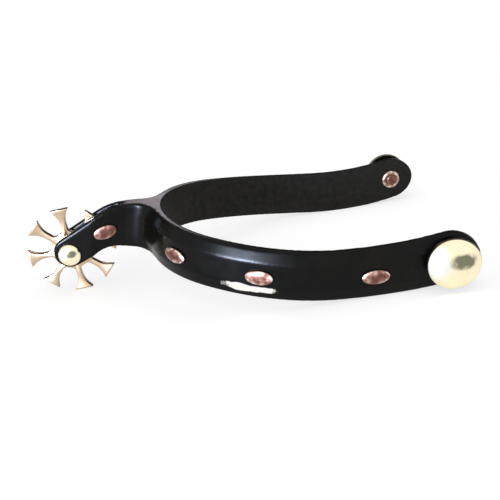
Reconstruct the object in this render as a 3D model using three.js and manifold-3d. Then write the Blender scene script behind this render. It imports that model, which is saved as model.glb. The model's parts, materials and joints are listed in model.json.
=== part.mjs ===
// A western riding spur, standing as it does when it is set down on a table: on one point of its
// rowel and on the lower edges of its two branches. Millimetres, +Z up, +X from the heel towards
// the toe. The spur is the same on both sides of the XZ plane.
//
// Pieces: a black steel heel band bent to a U, a forked shank behind it, a star rowel turning on
// a headed pin between the shank's tines, oval studs on the band and the shank, and a domed
// strap button riveted through each end of the band.
import * as THREE from "three";
import { mergeVertices } from "three/addons/utils/BufferGeometryUtils.js";
import Module from "manifold-3d";

const manifold = await Module();
manifold.setup();

const radians = THREE.MathUtils.degToRad;

// ---------------------------------------------------------------- driving dimensions

// Heel band: a strip with a bevelled outer face.
const bandHeight = 19.05;
const bandInnerFace = -1.75; // from the middle line of the strip's edges, outwards positive
const bandOuterEdge = 1.7;
const bandOuterFace = 3.0;
const bandFlatHalfHeight = 4.6; // the flat between the two bevels, each way from the middle
const bandEdgeBreak = 0.45;

// One branch of the band in plan, from the heel to the tip. A turn is the change of heading, and
// the last arc curves the other way, so that the tips spread slightly.
const branchArcs = [
  { radius: 41, turn: radians(60) },
  { radius: 88, turn: radians(33) },
  { radius: -305, turn: radians(-9) },
];
const branchRise = 18.2; // how far the tip stands above the heel
const branchRisePower = 4.2; // most of the rise is in the last third

// Shank, in side view: 19 high at the band, drooping to a disc round the rowel pin. The disc
// stands a little high and back on the pin, so the metal is thickest above and behind it.
const shankHalfHeight = 9.5;
const shankEndRadius = 6.4;
const shankEndOffset = new THREE.Vector2(-0.25, 0.5);
const shankTopBend = new THREE.Vector2(-7.5, shankHalfHeight);
const shankTopCorner = new THREE.Vector2(-16.6, 8.6);
const shankTopSlope = new THREE.Vector2(-23.2, 4.1);
const shankUnderBend = new THREE.Vector2(-14.5, -shankHalfHeight);
const shankUnderCorner = new THREE.Vector2(-20.5, -shankHalfHeight);
const shankUnderSlope = new THREE.Vector2(-24.6, -14);

// Shank, in plan: a Y. It flares into the band, narrows to a neck, and widens again to two tines
// with a slot between them.
const neckHalfWidth = 3.7;
const neckStart = -10;
const neckEnd = -12.5;
const forkHalfWidth = 5.8;
const forkFull = -26;
const flareAngle = radians(17); // round the heel's arc, where the flare meets the band's face
const slotEnd = -15.5;
const slotWidth = 4.4;

// Rowel and its pin.
const pinCentre = new THREE.Vector2(-34.5, -13.85);
const rowelPoints = 8;
const rowelRadius = 18; // to the middle of a point's end
const rowelPointHalfWidth = 3.75;
const rowelStemHalfWidth = 1.05;
const rowelWaistRadius = 11.6; // where a stem starts to flare
const rowelFlareRadius = 14.9; // where the flare is steepest
const rowelRootRadius = 9.4; // where the curve between two points reaches the stem
const rowelValleyRadius = 8.1;
const rowelThickness = 2.4;
const rowelPhase = radians(17.5); // one point's angle above +X before the spur is set down
const pinRadius = 2;
const pinHeadRadius = 4.6;
const pinHeadHeight = 2.3;
const pinHeadRim = 0.4;
const pinBurrRadius = 3.9;

// Studs: oval domes.
const studHalfLength = 5.3;
const studHalfHeight = 2.85;
const studRim = 0.45;
const studCrown = 1.35;
const studDrop = -0.7; // below the middle of the band
const studDistances = [30.7, 64.5, 105.5]; // along the band from the heel
const studNames = ["heel", "middle", "front"];
const shankStudPlace = new THREE.Vector2(-20.5, -3.1);
const shankStudTilt = radians(23);
const shankStudHalfLength = 5.1;
const shankStudHalfHeight = 2.95;

// Strap buttons. Heights are along the rivet, from the middle line of the band outwards.
const buttonRadius = 9.65;
const buttonCapTop = 10.8;
const buttonCapEdge = 7.0;
const buttonCapWall = 0.6;
const buttonBackRadius = 9.5;
const buttonBackFace = 5.8;
const buttonBackTop = 6.7;
const buttonNeckRadius = 3.4;
const rivetRadius = 1.9;
const rivetHeadRadius = 4;
const rivetHeadHeight = 1.1;
const burrRadius = 4.2;
const burrThickness = 1.1;
const burrRound = 0.35;
const peenRadius = 2.5;
const peenHeight = 0.9;
const peenShoulder = 0.7; // of the peen's radius, at its shoulder
const peenShoulderRise = 0.8; // of its height

// Fits.
const seatGap = 0.3; // between pieces that touch
const turningGap = 0.15; // round a pin or a rivet
const rowelBoreGap = 0.35;

// Tools for the cuts, each long enough to pass right through.
const drillLength = 30;
const cutReach = 50; // as far behind the heel as any cut or blank reaches
const cutHeight = 80;

// How the spur is set down: it tips forward until its rowel and its band reach the same level.
const restTilt = radians(13.635);

// ---------------------------------------------------------------- geometry helpers

function material(colour, roughness, metalness) {
  return new THREE.MeshStandardMaterial({ color: colour, roughness, metalness });
}

function closedGeometry(points, triangles) {
  const geometry = new THREE.BufferGeometry();
  const numbers = points.flatMap((point) => [point.x, point.y, point.z]);
  geometry.setAttribute("position", new THREE.Float32BufferAttribute(numbers, 3));
  geometry.setIndex(triangles);
  geometry.computeVertexNormals();
  return geometry;
}

// A closed body through equal rings of points, with a fan to one point at each end. Each ring
// runs counter-clockwise as seen from the last ring's end.
function loft(rings, firstPoint, lastPoint) {
  const count = rings[0].length;
  const points = [...rings.flat(), firstPoint, lastPoint];
  const first = points.length - 2;
  const last = points.length - 1;
  const triangles = [];
  for (let ring = 0; ring < rings.length - 1; ring += 1) {
    for (let i = 0; i < count; i += 1) {
      const a = ring * count + i;
      const b = ring * count + ((i + 1) % count);
      triangles.push(a, b, b + count, a, b + count, a + count);
    }
  }
  const lastRing = (rings.length - 1) * count;
  for (let i = 0; i < count; i += 1) {
    const next = (i + 1) % count;
    triangles.push(next, i, first, lastRing + i, lastRing + next, last);
  }
  return closedGeometry(points, triangles);
}

// A turned piece about its own Y axis. The profile is a list of [radius, height] pairs that
// starts and ends on the axis, or closes on itself where the piece has a hole.
function turned(profile, segments) {
  const outline = profile.map(([radius, height]) => new THREE.Vector2(radius, height));
  return new THREE.LatheGeometry(outline, segments);
}

// Points of a dome's outline from its edge to just short of its top, as [radius, height] pairs.
function domeOutline(radius, edgeHeight, topHeight, steps) {
  const crown = topHeight - edgeHeight;
  const outline = [];
  for (let step = 0; step < steps; step += 1) {
    const angle = (Math.PI / 2) * (step / steps);
    outline.push([radius * Math.cos(angle), edgeHeight + crown * Math.sin(angle)]);
  }
  return outline;
}

const mergeDistance = 1e-4;

function toSolid(geometry) {
  const bare = geometry.clone();
  bare.deleteAttribute("normal");
  bare.deleteAttribute("uv");
  const merged = mergeVertices(bare, mergeDistance);
  return new manifold.Manifold(
    new manifold.Mesh({
      numProp: 3,
      vertProperties: Float32Array.from(merged.attributes.position.array),
      triVerts: Uint32Array.from(merged.index.array),
    }),
  );
}

function fromSolid(solid) {
  const mesh = solid.getMesh();
  const geometry = new THREE.BufferGeometry();
  geometry.setAttribute("position", new THREE.Float32BufferAttribute(mesh.vertProperties, 3));
  geometry.setIndex(Array.from(mesh.triVerts));
  geometry.computeVertexNormals();
  return geometry;
}

// ---------------------------------------------------------------- the band's own coordinates

const branchLength = branchArcs.reduce((sum, arc) => sum + arc.radius * arc.turn, 0);
const buttonDistance = branchLength - bandHeight / 2;

// The middle line of one branch in plan: where it is, and its heading, at a distance from the heel.
function planLine(distance) {
  let x = 0;
  let y = 0;
  let heading = Math.PI / 2;
  let left = distance;
  for (const { radius, turn } of branchArcs) {
    const length = Math.min(left, radius * turn);
    const nextHeading = heading - length / radius;
    x += radius * (Math.sin(heading) - Math.sin(nextHeading));
    y += radius * (Math.cos(nextHeading) - Math.cos(heading));
    heading = nextHeading;
    left -= length;
  }
  return { x, y, heading };
}

// The band's place and directions at a signed distance from the heel: positive along the far
// branch and negative along the near one, which mirrors it.
function bandFrame(distance) {
  const side = distance < 0 ? -1 : 1;
  const along = Math.min(Math.abs(distance), branchLength);
  const { x, y, heading } = planLine(along);
  const share = along / branchLength;
  const slope = (branchRise * branchRisePower * share ** (branchRisePower - 1)) / branchLength;
  const pitch = Math.atan(slope);
  const forward = new THREE.Vector3(Math.cos(heading), side * Math.sin(heading), 0);
  return {
    centre: new THREE.Vector3(x, side * y, branchRise * share ** branchRisePower),
    outward: new THREE.Vector3(-Math.sin(heading), side * Math.cos(heading), 0),
    up: new THREE.Vector3(0, 0, Math.cos(pitch)).addScaledVector(forward, -Math.sin(pitch)),
  };
}

// A point of the band's space: so far along it, out from its middle line, and up its height.
function bandPoint(distance, out, height) {
  const { centre, outward, up } = bandFrame(distance);
  return centre.addScaledVector(outward, out).addScaledVector(up, height);
}

// ---------------------------------------------------------------- heel band

const rivetSides = 24;
const bandSpans = 73; // an odd number, so that one flat span is centred on the heel
const bandTipSteps = 6;
const bandTipLast = radians(83); // the last ring's place on the half-round, just short of a point

// The band's section, counter-clockwise, as [outwards, upwards] with everything grown by grow.
function bandSection(halfHeight, grow) {
  const half = halfHeight + grow;
  const inner = bandInnerFace - grow;
  const edge = bandOuterEdge + grow;
  const face = bandOuterFace + grow;
  const broken = Math.min(bandEdgeBreak, half / 3);
  const flat = (bandFlatHalfHeight * halfHeight) / (bandHeight / 2);
  const lower = [
    [inner, broken - half],
    [inner + broken, -half],
    [edge - broken, -half],
    [edge, broken - half],
    [face, -flat],
  ];
  const upper = lower.map(([out, up]) => [out, -up]).reverse();
  return [...lower, ...upper];
}

// Where the band's sections lie, as [distance, half height]. The ends are half-rounds.
function bandStations() {
  const half = bandHeight / 2;
  const straight = branchLength - half;
  const stations = [];
  for (let step = bandTipSteps; step > 0; step -= 1) {
    const angle = (bandTipLast * step) / bandTipSteps;
    stations.push([-straight - half * Math.sin(angle), half * Math.cos(angle)]);
  }
  for (let span = 0; span <= bandSpans; span += 1) {
    stations.push([straight * ((2 * span) / bandSpans - 1), half]);
  }
  for (let step = 1; step <= bandTipSteps; step += 1) {
    const angle = (bandTipLast * step) / bandTipSteps;
    stations.push([straight + half * Math.sin(angle), half * Math.cos(angle)]);
  }
  return stations;
}

function bandStrip(grow) {
  const stations = bandStations();
  const rings = stations.map(([distance, halfHeight]) =>
    bandSection(halfHeight, grow).map(([out, up]) => bandPoint(distance, out, up)),
  );
  const tip = stations[stations.length - 1][0];
  return loft(rings, bandPoint(-tip, 0, 0), bandPoint(tip, 0, 0));
}

// A frame whose +Y is the rivet's axis, pointing out of the band, and whose +Z points up it.
function buttonFrame(side) {
  const { centre, outward, up } = bandFrame(side * buttonDistance);
  const across = new THREE.Vector3().crossVectors(outward, up);
  return new THREE.Matrix4().makeBasis(across, outward, up).setPosition(centre);
}

function heelBand() {
  const bore = rivetRadius + turningGap;
  const drill = new THREE.CylinderGeometry(bore, bore, drillLength, rivetSides);
  let solid = toSolid(bandStrip(0));
  for (const side of [-1, 1]) {
    solid = solid.subtract(toSolid(drill.clone().applyMatrix4(buttonFrame(side))));
  }
  return fromSolid(solid);
}

// ---------------------------------------------------------------- shank

const sideCurveSteps = 14;
const flareSteps = 8;
const pinBoreSides = 28;
const shankRoot = 1.2; // how far the blank reaches into the band, to be cut back to its face

// The side view, as a shape whose x is the spur's X and whose y is its Z. Both slopes are
// tangent to the disc at the end.
function shankSideShape() {
  const end = pinCentre.clone().add(shankEndOffset);
  const tangent = (corner, sign) => {
    const toCorner = corner.clone().sub(end);
    return toCorner.angle() + sign * Math.acos(shankEndRadius / toCorner.length());
  };
  const from = tangent(shankTopSlope, 1);
  const to = tangent(shankUnderSlope, -1);
  const shape = new THREE.Shape();
  shape.moveTo(shankRoot, -shankHalfHeight);
  shape.lineTo(shankRoot, shankHalfHeight);
  shape.lineTo(shankTopBend.x, shankTopBend.y);
  shape.quadraticCurveTo(shankTopCorner.x, shankTopCorner.y, shankTopSlope.x, shankTopSlope.y);
  shape.absarc(end.x, end.y, shankEndRadius, from, to, false);
  shape.lineTo(shankUnderSlope.x, shankUnderSlope.y);
  shape.quadraticCurveTo(shankUnderCorner.x, shankUnderCorner.y, shankUnderBend.x, shankUnderBend.y);
  return shape;
}

// Half the shank's width on its flat flank, from the neck back to the fork.
function flankHalfWidth(x) {
  const share = THREE.MathUtils.clamp((neckEnd - x) / (neckEnd - forkFull), 0, 1);
  return neckHalfWidth + (forkHalfWidth - neckHalfWidth) * share;
}

// Half of the plan view at one height, from behind the tine's end to the root, as points with y
// positive. The flare draws in above and below, as the bevels of the band that it meets do. It
// leaves the neck along X and meets the band's face square.
function shankPlanSide(height) {
  const fromFlat = Math.abs(height) - bandFlatHalfHeight;
  const share = THREE.MathUtils.clamp(fromFlat / (bandHeight / 2 - bandFlatHalfHeight), 0, 1);
  const heelArc = branchArcs[0].radius;
  const face = heelArc + bandOuterFace - share * (bandOuterFace - bandOuterEdge);
  const meetX = heelArc - face * Math.cos(flareAngle);
  const meetY = face * Math.sin(flareAngle);
  const cornerX = meetX - (meetY - neckHalfWidth) * Math.tan(flareAngle);
  const start = new THREE.Vector2(neckStart, neckHalfWidth);
  const corner = new THREE.Vector2(cornerX, neckHalfWidth);
  const flare = new THREE.QuadraticBezierCurve(start, corner, new THREE.Vector2(meetX, meetY));
  return [
    new THREE.Vector2(-cutReach, forkHalfWidth),
    new THREE.Vector2(forkFull, forkHalfWidth),
    new THREE.Vector2(neckEnd, neckHalfWidth),
    ...flare.getPoints(flareSteps),
    new THREE.Vector2(shankRoot, meetY),
  ];
}

// The plan view made solid. It reaches well below the band, to take in the end of the fork.
function shankPlanBody() {
  const below = -cutHeight / 2;
  const levels = [below, -shankHalfHeight, -bandFlatHalfHeight, bandFlatHalfHeight, shankHalfHeight];
  const rings = levels.map((height) => {
    const side = shankPlanSide(height);
    const near = side.map((point) => new THREE.Vector3(point.x, -point.y, height));
    const far = side.map((point) => new THREE.Vector3(point.x, point.y, height)).reverse();
    return [...near, ...far];
  });
  return loft(rings, new THREE.Vector3(0, 0, below), new THREE.Vector3(0, 0, shankHalfHeight));
}

function centredExtrusion(shape, depth, curveSegments) {
  const geometry = new THREE.ExtrudeGeometry(shape, { depth, bevelEnabled: false, curveSegments });
  return geometry.translate(0, 0, -depth / 2);
}

function shank() {
  const side = centredExtrusion(shankSideShape(), cutReach, sideCurveSteps).rotateX(Math.PI / 2);
  const slot = new THREE.BoxGeometry(cutReach, slotWidth, cutHeight);
  slot.translate(slotEnd - cutReach / 2, 0, 0);
  const boreRadius = pinRadius + turningGap;
  const bore = new THREE.CylinderGeometry(boreRadius, boreRadius, drillLength, pinBoreSides);
  bore.translate(pinCentre.x, 0, pinCentre.y);
  const solid = toSolid(side)
    .intersect(toSolid(shankPlanBody()))
    .subtract(toSolid(bandStrip(seatGap)))
    .subtract(toSolid(slot))
    .subtract(toSolid(bore));
  return fromSolid(solid);
}

// ---------------------------------------------------------------- rowel and pin

const rowelCurveSteps = 4;
const pinSides = 28;
const pinDomeSteps = 5;
const washerSides = 24;

// One fishtail point after another, then the bore. Each point is a stem that flares to a flat end.
function rowelShape() {
  const shape = new THREE.Shape();
  const pitch = (2 * Math.PI) / rowelPoints;
  const place = (angle, along, across) =>
    new THREE.Vector2(along, across).rotateAround(new THREE.Vector2(), angle);
  const stem = rowelStemHalfWidth;
  for (let point = 0; point < rowelPoints; point += 1) {
    const angle = rowelPhase + point * pitch;
    const at = (along, across) => place(angle, along, across);
    const valley = place(angle - pitch / 2, rowelValleyRadius, 0);
    const nextValley = place(angle + pitch / 2, rowelValleyRadius, 0);
    if (point === 0) {
      shape.moveTo(valley.x, valley.y);
    }
    const curve = (control, end) => shape.quadraticCurveTo(control.x, control.y, end.x, end.y);
    const line = (end) => shape.lineTo(end.x, end.y);
    curve(at(rowelValleyRadius, -stem), at(rowelRootRadius, -stem));
    line(at(rowelWaistRadius, -stem));
    curve(at(rowelFlareRadius, -stem), at(rowelRadius, -rowelPointHalfWidth));
    line(at(rowelRadius, rowelPointHalfWidth));
    curve(at(rowelFlareRadius, stem), at(rowelWaistRadius, stem));
    line(at(rowelRootRadius, stem));
    curve(at(rowelValleyRadius, stem), nextValley);
  }
  const bore = new THREE.Path();
  bore.absarc(0, 0, pinRadius + rowelBoreGap, 0, 2 * Math.PI, true);
  shape.holes.push(bore);
  return shape;
}

function rowel() {
  return centredExtrusion(rowelShape(), rowelThickness, rowelCurveSteps).rotateX(Math.PI / 2);
}

// A peened end's outline from its tip up to its seat, as [radius, height] pairs.
function peen(seat) {
  return [
    [0, seat - peenHeight],
    [peenRadius * peenShoulder, seat - peenHeight * peenShoulderRise],
    [peenRadius, seat],
  ];
}

// The pin's own +Y points out of the near tine, where its domed head is. Its far end is peened.
function rowelPin() {
  const seat = forkHalfWidth + seatGap;
  const tail = -seat - burrThickness - seatGap;
  return turned(
    [
      ...peen(tail),
      [pinRadius, tail],
      [pinRadius, seat],
      [pinHeadRadius - seatGap, seat],
      ...domeOutline(pinHeadRadius, seat + pinHeadRim, seat + pinHeadHeight, pinDomeSteps),
      [0, seat + pinHeadHeight],
    ],
    pinSides,
  );
}

// A washer with a rounded outer edge, on the axis from one height to a higher one.
function washer(innerRadius, outerRadius, low, high) {
  return turned(
    [
      [innerRadius, low],
      [outerRadius - burrRound, low],
      [outerRadius, low + burrRound],
      [outerRadius, high - burrRound],
      [outerRadius - burrRound, high],
      [innerRadius, high],
      [innerRadius, low],
    ],
    washerSides,
  );
}

// ---------------------------------------------------------------- studs

const studSides = 20;
const studInnerRing = 0.5; // shares of the oval at which its dome has rings
const studOuterRing = 0.87;

// A domed oval. place(along, across, height) puts a point of it on the surface it sits on.
function stud(halfLength, halfHeight, place) {
  const ring = (share, height) =>
    Array.from({ length: studSides }, (_, i) => {
      const angle = (2 * Math.PI * i) / studSides;
      const along = halfLength * share * Math.cos(angle);
      return place(along, halfHeight * share * Math.sin(angle), height);
    });
  const crown = (share) => studRim + (studCrown - studRim) * Math.sqrt(1 - share ** 2);
  const rings = [
    ring(studInnerRing, seatGap),
    ring(1, seatGap),
    ring(1, seatGap + studRim),
    ring(studOuterRing, seatGap + crown(studOuterRing)),
    ring(studInnerRing, seatGap + crown(studInnerRing)),
  ];
  return loft(rings, place(0, 0, seatGap), place(0, 0, seatGap + studCrown));
}

function bandStud(side, distance) {
  return stud(studHalfLength, studHalfHeight, (along, across, height) =>
    bandPoint(side * (distance + along), bandOuterFace + height, studDrop - side * across),
  );
}

// The shank's studs lie on its flanks, which turn outwards from the neck to the fork.
function shankStud(side) {
  const splay = Math.atan2(forkHalfWidth - neckHalfWidth, neckEnd - forkFull);
  const outward = new THREE.Vector3(Math.sin(splay), side * Math.cos(splay), 0);
  const forward = new THREE.Vector3(Math.cos(splay), -side * Math.sin(splay), 0);
  const middle = side * flankHalfWidth(shankStudPlace.x);
  return stud(shankStudHalfLength, shankStudHalfHeight, (along, across, height) => {
    const flat = new THREE.Vector2(along, -side * across);
    flat.rotateAround(new THREE.Vector2(), shankStudTilt);
    return new THREE.Vector3(shankStudPlace.x, middle, shankStudPlace.y + flat.y)
      .addScaledVector(forward, flat.x)
      .addScaledVector(outward, height);
  });
}

// ---------------------------------------------------------------- strap buttons

const capSides = 30;
const capOuterSteps = 6;
const capInnerSteps = 4;
const backSides = 28;

// A thin domed cap, open behind, whose edge sits on the backing disc.
function buttonCap() {
  const inner = buttonRadius - buttonCapWall;
  const ceiling = buttonCapTop - buttonCapWall;
  const outside = domeOutline(buttonRadius, buttonCapEdge, buttonCapTop, capOuterSteps);
  const inside = domeOutline(inner, buttonCapEdge, ceiling, capInnerSteps).reverse();
  return turned([[0, ceiling], ...inside, ...outside, [0, buttonCapTop]], capSides);
}

// The backing disc, with the neck that holds it off the band to leave room for a strap.
function buttonBack() {
  const bore = rivetRadius + turningGap;
  return turned(
    [
      [bore, bandOuterFace + seatGap],
      [buttonNeckRadius, bandOuterFace + seatGap],
      [buttonNeckRadius, buttonBackFace],
      [buttonBackRadius, buttonBackFace],
      [buttonBackRadius, buttonBackTop],
      [bore, buttonBackTop],
      [bore, bandOuterFace + seatGap],
    ],
    backSides,
  );
}

// The rivet, from its peened tail inside the band to its flat head inside the cap.
function buttonRivet() {
  const tail = bandInnerFace - seatGap - burrThickness - seatGap;
  const headSeat = buttonBackTop + seatGap;
  return turned(
    [
      ...peen(tail),
      [rivetRadius, tail],
      [rivetRadius, headSeat],
      [rivetHeadRadius, headSeat],
      [rivetHeadRadius, headSeat + rivetHeadHeight],
      [0, headSeat + rivetHeadHeight],
    ],
    rivetSides,
  );
}

function buttonBurr() {
  const high = bandInnerFace - seatGap;
  return washer(rivetRadius + turningGap, burrRadius, high - burrThickness, high);
}

// ---------------------------------------------------------------- the assembly

const blackSteel = material(0x1c1d1e, 0.35, 0.75);
const paleBrass = material(0xe3cf96, 0.28, 0.95);
const tanBrass = material(0xc9a978, 0.38, 0.9);
const copper = material(0xa06a55, 0.4, 0.85);

function piece(name, geometry, finish) {
  const mesh = new THREE.Mesh(geometry, finish);
  mesh.name = name;
  return mesh;
}

function rowelAssembly() {
  const group = new THREE.Group();
  group.position.set(pinCentre.x, 0, pinCentre.y);
  const wheel = piece("rowel", rowel(), tanBrass);
  const pin = piece("rowel_pin", rowelPin(), paleBrass);
  pin.rotation.x = Math.PI;
  const seat = forkHalfWidth + seatGap;
  const burrShape = washer(pinRadius + turningGap, pinBurrRadius, seat, seat + burrThickness);
  group.add(wheel, pin, piece("rowel_pin_burr", burrShape, paleBrass));
  return group;
}

function strapButton(sideName, side) {
  const group = new THREE.Group();
  group.applyMatrix4(buttonFrame(side));
  group.add(
    piece(`${sideName}_button_cap`, buttonCap(), paleBrass),
    piece(`${sideName}_button_back`, buttonBack(), blackSteel),
    piece(`${sideName}_button_rivet`, buttonRivet(), copper),
    piece(`${sideName}_button_burr`, buttonBurr(), copper),
  );
  return group;
}

const spur = new THREE.Group();
spur.add(piece("heel_band", heelBand(), blackSteel));
spur.add(piece("shank", shank(), blackSteel));
spur.add(rowelAssembly());
for (const [sideName, side] of [["near", -1], ["far", 1]]) {
  studDistances.forEach((distance, i) => {
    spur.add(piece(`${sideName}_${studNames[i]}_stud`, bandStud(side, distance), copper));
  });
  spur.add(piece(`${sideName}_shank_stud`, shankStud(side), copper));
  spur.add(strapButton(sideName, side));
}

// Set the spur down, with the middle of its footprint at the origin.
spur.rotation.y = restTilt;
spur.updateMatrixWorld(true);
const box = new THREE.Box3().setFromObject(spur, true);
spur.position.set(-(box.min.x + box.max.x) / 2, 0, -box.min.z);

const standing = new THREE.Group();
standing.add(spur);

export default standing;
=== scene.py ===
import json
import math

import bmesh
import bpy
from mathutils import Matrix, Vector
from mathutils.kdtree import KDTree


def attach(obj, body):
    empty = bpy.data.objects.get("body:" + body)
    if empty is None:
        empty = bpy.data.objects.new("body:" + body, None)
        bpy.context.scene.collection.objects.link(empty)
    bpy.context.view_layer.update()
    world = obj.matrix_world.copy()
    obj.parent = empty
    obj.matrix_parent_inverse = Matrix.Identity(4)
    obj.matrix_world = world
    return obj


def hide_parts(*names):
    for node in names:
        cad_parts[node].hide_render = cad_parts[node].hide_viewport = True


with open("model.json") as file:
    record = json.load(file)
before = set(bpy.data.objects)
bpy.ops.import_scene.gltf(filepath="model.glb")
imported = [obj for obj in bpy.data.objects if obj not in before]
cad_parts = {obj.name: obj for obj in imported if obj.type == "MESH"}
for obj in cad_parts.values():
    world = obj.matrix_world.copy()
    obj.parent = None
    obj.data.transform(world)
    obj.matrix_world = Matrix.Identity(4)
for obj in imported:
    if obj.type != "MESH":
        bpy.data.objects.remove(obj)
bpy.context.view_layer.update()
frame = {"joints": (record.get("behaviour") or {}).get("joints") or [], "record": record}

# The looks of a western riding spur: a black steel heel band and shank, a brass rowel on its
# pin, oval copper studs, and domed brass strap buttons. Shapes are made in millimetres in the
# spur's own frame, which lies level through the heel and has its origin in the middle of the
# band there, and they are then set down on the table where the frame says.

# ------------------------------------------------------------------ places from the frame

MM = 0.001
JOINTS = {joint["name"]: joint for joint in frame["joints"]}
MOUNTS = {mount["name"]: mount for mount in frame["record"]["mounts"]}
PIN_CENTRE = Vector((-34.5, 0.0, -13.85))


def spur_to_row():
    """Spur's own millimetres to the row frame: the tilt is the heel seat's, the place the pin's."""
    axis = MOUNTS["heel_seat"]["axis"]
    turn = Matrix.Rotation(math.atan2(-axis[2], axis[0]), 4, "Y") @ Matrix.Scale(MM, 4)
    place = Vector(JOINTS["rowel_spin"]["pos_m"]) - turn @ PIN_CENTRE
    return Matrix.Translation(place) @ turn


SPUR = spur_to_row()

# ------------------------------------------------------------------ sizes, millimetres

BAND_HALF = 19.05 / 2
BAND_INNER = -1.75
BAND_EDGE = 1.7
BAND_FACE = 3.0
BAND_FLAT_HALF = 4.6
BRANCH_ARCS = [(41, math.radians(60)), (88, math.radians(33)), (-305, math.radians(-9))]
BRANCH_LENGTH = sum(radius * turn for radius, turn in BRANCH_ARCS)
BUTTON_DISTANCE = BRANCH_LENGTH - BAND_HALF
BRANCH_RISE = 18.2
BRANCH_RISE_POWER = 4.2

SHANK_HALF_HEIGHT = 9.5
SHANK_END_RADIUS = 6.4
SHANK_END = Vector((PIN_CENTRE.x - 0.25, PIN_CENTRE.z + 0.5))
SHANK_TOP = [(-7.5, SHANK_HALF_HEIGHT), (-16.6, 8.6), (-23.2, 4.1)]
SHANK_UNDER = [(-24.6, -14), (-20.5, -SHANK_HALF_HEIGHT), (-14.5, -SHANK_HALF_HEIGHT)]
SHANK_ROOT = 1.2
NECK_HALF_WIDTH = 3.7
NECK_START = -10
NECK_END = -12.5
FORK_HALF_WIDTH = 5.8
FORK_FULL = -26
FLARE_ANGLE = math.radians(17)
SLOT_END = -15.5
SLOT_WIDTH = 4.4

PIN_RADIUS = 2.0
PIN_HEAD_RADIUS = 4.6
PIN_HEAD_FLAT = 4.0
PIN_HEAD_ROUND = 0.45
PIN_HEAD_EDGE = 0.55
PIN_HEAD_HEIGHT = 2.6
PIN_TAIL_LENGTH = 1.1
PEENED_RADIUS = 2.5
WASHER_RADIUS = 3.9
WASHER_ROUND = 0.4
ROWEL_POINTS = 8
ROWEL_RADIUS = 18.0
ROWEL_TIP_HALF = 3.75
ROWEL_STEM_HALF = 1.05
ROWEL_WAIST = 11.6
ROWEL_FLARE = 14.9
ROWEL_ROOT = 9.4
ROWEL_VALLEY = 8.1
ROWEL_PHASE = math.radians(17.5)
ROWEL_THICKNESS = 2.4

STUD_HALVES = (5.3, 2.85)
STUD_RIM = 0.45
STUD_CROWN = 1.45
STUD_DROP = -0.7
STUD_DISTANCES = {"heel": 30.7, "middle": 64.5, "front": 105.5}
SHANK_STUD_X = -20.5
SHANK_STUD_Z = -3.1
SHANK_STUD_TILT = math.radians(23)
SHANK_STUD_HALVES = (5.1, 2.95)

# Strap buttons: (radius, height) pairs are about the rivet's axis, from the band's middle out.
BUTTON_RADIUS = 9.65
CAP_TOP = 10.8
CAP_EDGE = 7.0
CAP_LIP = 0.36
CAP_HOLLOW = [(0, 10.2), (3.5, 9.9), (6.5, 9.0), (8.4, 7.7), (8.9, CAP_EDGE)]
BACK_RADIUS = 9.5
BACK_FACE = 5.8
BACK_TOP = 6.7
BACK_ROUND = 0.45
BACK_NECK_FOOT = 3.3
BACK_NECK = [(3.4, 3.35), (3.2, 4.6), (3.5, 5.5), (4.2, BACK_FACE)]
RIVET_RADIUS = 1.9
RIVET_TAIL_LENGTH = 1.2
RIVET_HEAD_RADIUS = 4.0
RIVET_HEAD = [(3.9, 7.9), (3.4, 8.1), (0, 8.1)]
BURR_RADIUS = 4.2
BURR_THICKNESS = 1.1
BURR_ROUND = 0.3
# The dark rim here is painted shade; this radius keeps it faint on the burr.
BURR_MARK_RADIUS = 1.1 * BURR_RADIUS  # larger than the burr, which keeps its dark rim faint

SEAT_GAP = 0.05  # between the looks of pieces that touch
BORE_GAP = 0.35  # round a pin or a rivet, where it passes through the steel
WASHER_GAP = 0.1  # between a shaft and the ring round it

# Painted reflections on a dome, pale and dark, as shares of its radius: a name, where it is along X
# and up Z, and its reach.
DOME_MARKS = [("painted_pale_reflection", (-0.75, 0.15), (0.75, 0.8)), ("painted_dark_reflection", (0.26, 0.18), (0.62, 0.4))]

# ------------------------------------------------------------------ mesh helpers


def make_piece(name, points, faces, place=SPUR):
    """A mesh object from points in millimetres, with its normals outwards and smooth."""
    mesh = bpy.data.meshes.new(name)
    mesh.from_pydata([place @ Vector(point) for point in points], [], faces)
    piece = bpy.data.objects.new(name, mesh)
    bpy.context.scene.collection.objects.link(piece)
    edit = bmesh.new()
    edit.from_mesh(mesh)
    bmesh.ops.recalc_face_normals(edit, faces=edit.faces)
    edit.to_mesh(mesh)
    edit.free()
    mesh.shade_smooth()
    return piece


def lofted(name, rings, first, last, place=SPUR):
    """A closed body through rings of equal size, with a fan to a point at each end."""
    size = len(rings[0])
    points = [point for ring in rings for point in ring] + [first, last]
    start, end = len(points) - 2, len(points) - 1
    faces = []
    for low in range(0, (len(rings) - 1) * size, size):
        for i in range(size):
            following = (i + 1) % size
            faces.append((low + i, low + following, low + size + following, low + size + i))
    top = (len(rings) - 1) * size
    faces += [((i + 1) % size, i, start) for i in range(size)]
    faces += [(top + i, top + (i + 1) % size, end) for i in range(size)]
    return make_piece(name, points, faces, place)


def turned(name, profile, place, segments=96):
    """A piece turned about its own Z, from (radius, height) pairs. Zero radius is on the axis."""
    points, rows = [], []
    closed = profile[0] == profile[-1] and profile[0][0] > 0
    for radius, height in profile[:-1] if closed else profile:
        if radius == 0:
            rows.append([len(points)] * segments)
            points.append((0, 0, height))
            continue
        rows.append(list(range(len(points), len(points) + segments)))
        for step in range(segments):
            angle = 2 * math.pi * step / segments
            points.append((radius * math.cos(angle), radius * math.sin(angle), height))
    if closed:
        rows.append(rows[0])
    faces = []
    for low, high in zip(rows, rows[1:]):
        for i in range(segments):
            corners = [low[i], low[(i + 1) % segments], high[(i + 1) % segments], high[i]]
            faces.append(tuple(dict.fromkeys(corners)))
    return make_piece(name, points, faces, place)


def clamp(value, low=0.0, high=1.0):
    return max(low, min(high, value))


def evenly(low, high, steps):
    return [low + (high - low) * step / steps for step in range(steps + 1)]


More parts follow.
